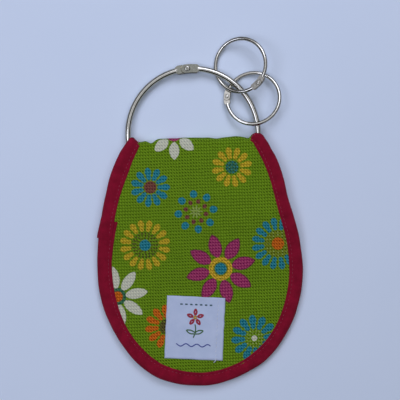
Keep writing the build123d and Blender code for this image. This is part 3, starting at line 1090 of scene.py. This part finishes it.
def make_label():
    across = np.linspace(-LABEL_WIDTH / 2, LABEL_WIDTH / 2, 46)
    up = np.linspace(-LABEL_HEIGHT / 2, LABEL_HEIGHT / 2, 50)
    a, b = np.meshgrid(across, up)
    a_edge = a + 0.12 * ripple(b, 0, 53, 7.0) * np.abs(a / LABEL_WIDTH * 2) ** 6
    b_edge = b + 0.15 * ripple(a, 0, 54, 9.0) * np.abs(b / LABEL_HEIGHT * 2) ** 6
    x, s = on_label(a_edge, b_edge)
    under = label_h(a, b)
    past_edge = np.maximum(np.abs(a) - LABEL_WIDTH / 2, np.abs(b) - LABEL_HEIGHT / 2)
    tuck = smooth(past_edge, -0.4, 0.0)
    places = two_faces(x, s, under + LABEL_T - 0.10 * tuck, under)
    uv = np.stack([a.ravel(), b.ravel()], 1)
    label = new_object("woven_label", places, shell_faces(*a.shape), np.concatenate([uv, uv]))
    label.data.materials.append(LABEL)
    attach(label, "cover_front")
    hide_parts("label")


def label_place(a, b, lift):
    """A place in the frame over the label's upper face."""
    x, s = on_label(a, b)
    return fold_up(x, s, label_h(a, b) + LABEL_T + lift)


def make_label_stitches():
    """Two rows of white stitches down the label, and a loose end of thread."""
    # each row is at a, from its lowest b to its highest
    parts = []
    for a, low, high in ((-16.4, -18.2, 18.2), (13.6, -18.6, 18.4)):
        rows = np.arange(low, high, 2.5)
        for k, b in enumerate(rows):
            shift = 0.15 * math.sin(2.1 * k + a)
            here = label_place(a + shift, b, 0.06)
            there = label_place(a + shift + 0.06, b + 0.3, 0.06)
            above = label_place(a + shift, b, 0.36)
            parts.append(stitch(here, there - here, above - here, 1.9 * MM, 0.19 * MM))
    stitches = join_meshes("label_stitches_white", parts)
    stitches.data.materials.append(WHITE_THREAD)
    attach(stitches, "cover_front")
    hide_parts("label_stitches")

    tail_points = [(13.6, -17.6, 0.1), (13.6, -18.7, 0.4), (13.1, -19.8, 0.5), (12.3, -20.6, 0.3)]
    places = [label_place(*point) for point in tail_points]
    tail = thread_tube("label_thread_tail", places, 0.27 * MM)
    tail.data.materials.append(WHITE_THREAD)
    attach(tail, "cover_front")


def thread_tube(name, points, radius):
    """A short end of thread as a smooth tube with rounded ends, through these places."""
    points = np.array(points)
    lengths = np.concatenate([[0], np.cumsum(np.linalg.norm(np.diff(points, axis=0), axis=1))])
    at = np.linspace(0, lengths[-1], 6 * len(points))
    line = smooth_line(lengths, points, at)
    way = np.gradient(line, axis=0)
    way /= np.linalg.norm(way, axis=1)[:, None]
    side = np.cross(way, (0.0, 0.0, 1.0))
    side /= np.linalg.norm(side, axis=1)[:, None]
    up = np.cross(side, way)
    size = radius * np.sqrt(np.clip(1 - np.linspace(-1, 1, len(at)) ** 12, 0.05, 1))
    sides = 8
    turns = np.linspace(0, 2 * math.pi, sides, endpoint=False)[None, :, None]
    ring = side[:, None, :] * np.cos(turns) + up[:, None, :] * np.sin(turns)
    vertices = (line[:, None, :] + ring * size[:, None, None]).reshape(-1, 3)
    return new_object(name, vertices, tube_faces(len(at), sides))


def embroidered_line(points, width):
    """A raised satin-stitched line on the label, through points (a, b), as one swept band."""
    points = np.array(points, float)
    lengths = distances(points)
    at = np.linspace(0, lengths[-1], max(8, int(lengths[-1] / 0.25)))
    line = smooth_line(lengths, points, at)
    way = np.gradient(line, axis=0)
    way /= np.hypot(*way.T)[:, None]
    normal = np.stack([-way[:, 1], way[:, 0]], 1)
    half = [(0.2, 0.19), (0.42, 0.1), (0.5, -0.1)]
    section = [(-across, high) for across, high in reversed(half)] + [(0.0, 0.22)] + half
    ribs = 1 + 0.10 * np.cos(np.arange(len(at)) * math.pi)
    vertices = []
    for (a, b), (na, nb), rib in zip(line, normal, ribs):
        for across, high in section:
            off = across * width * rib
            vertices.append(label_place(a + na * off, b + nb * off, high * rib))
    return vertices, tube_faces(len(at), len(section))


def make_label_motif():
    """A made-up sprig with a flower and two leaves over a wavy line, worked in coloured thread."""
    centre_b = 6.4
    petals = []
    for k in range(5):
        turn = math.pi / 2 + k * 2 * math.pi / 5
        c, n = math.cos(turn), math.sin(turn)
        reach = [(1.3, 0.0), (3.4, 0.75), (4.9, 0.0), (3.4, -0.75), (1.5, -0.1)]
        points = [(r * c - w * n, centre_b + r * n + w * c) for r, w in reach]
        petals.append(embroidered_line(points, 1.25))
    turns = np.linspace(0, 6.0, 8)
    round_eye = [(0.75 * math.cos(t), centre_b + 0.75 * math.sin(t)) for t in turns]
    eye = [embroidered_line(round_eye, 1.1)]
    stem = [embroidered_line([(0.0, 2.2), (0.5, -0.4), (0.2, -3.2), (-0.7, -6.0)], 0.75)]
    leaves = []
    for way in (1, -1):
        leaf = [(0.3, -2.8), (way * 2.4, -1.5), (way * 5.0, -1.6), (way * 3.2, -3.3), (0.3, -3.7)]
        leaves.append(embroidered_line(leaf, 0.85))
    wave = [(a, -10.6 + 0.8 * math.sin(a * 0.95)) for a in np.linspace(-11.0, 10.0, 29)]
    wavy = [embroidered_line(wave, 0.7)]
    dashes = []
    for a in np.linspace(-9.5, 8.5, 7):
        dashes.append(embroidered_line([(a, 14.2), (a + 0.7, 14.25), (a + 1.5, 14.2)], 0.95))
    for name, parts, colour in (
        ("label_motif_petals", petals, (0.40, 0.02, 0.045)),
        ("label_motif_eye", eye, (0.55, 0.30, 0.02)),
        ("label_motif_leaves", stem + leaves, (0.05, 0.15, 0.035)),
        ("label_motif_wave", wavy, (0.03, 0.05, 0.30)),
        ("label_motif_dashes", dashes, (0.03, 0.10, 0.11)),
    ):
        piece = join_meshes(name, parts)
        piece.data.materials.append(thread_material(name + "_thread", colour))
        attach(piece, "cover_front")


# ---- Build ----

set_the_stage()

NICKEL = nickel_material()
BINDING = plain_cloth("binding_cotton", (0.31, 0.007, 0.028), 0.34, contrast=0.28)
LINING = plain_cloth("lining_cotton", (0.20, 0.30, 0.02), 0.5)
SEAM_THREAD = thread_material("seam_thread", (0.34, 0.02, 0.05))
WHITE_THREAD = thread_material("white_thread", (0.72, 0.75, 0.80))
LABEL = label_material()
FLEECE = fleece_material()

for node_name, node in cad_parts.items():
    if "_ring_" in node_name:
        node.data.materials.clear()
        node.data.materials.append(NICKEL)

for flap, flowers in (("front", FRONT_FLOWERS), ("back", BACK_FLOWERS)):
    canvas = canvas_material("printed_canvas_" + flap, flowers)
    make_cloth(
        "canvas_" + flap, flap, "outer_fabric_" + flap,
        canvas_h, CANVAS_T, canvas,
    )
    make_cloth(
        "inner_" + flap, flap, "lining_" + flap,
        lining_h, LINING_T, LINING,
    )
    make_padding(flap)
make_tape()
make_binding_stitches()
make_label()
make_label_stitches()
make_label_motif()

bpy.context.view_layer.update()
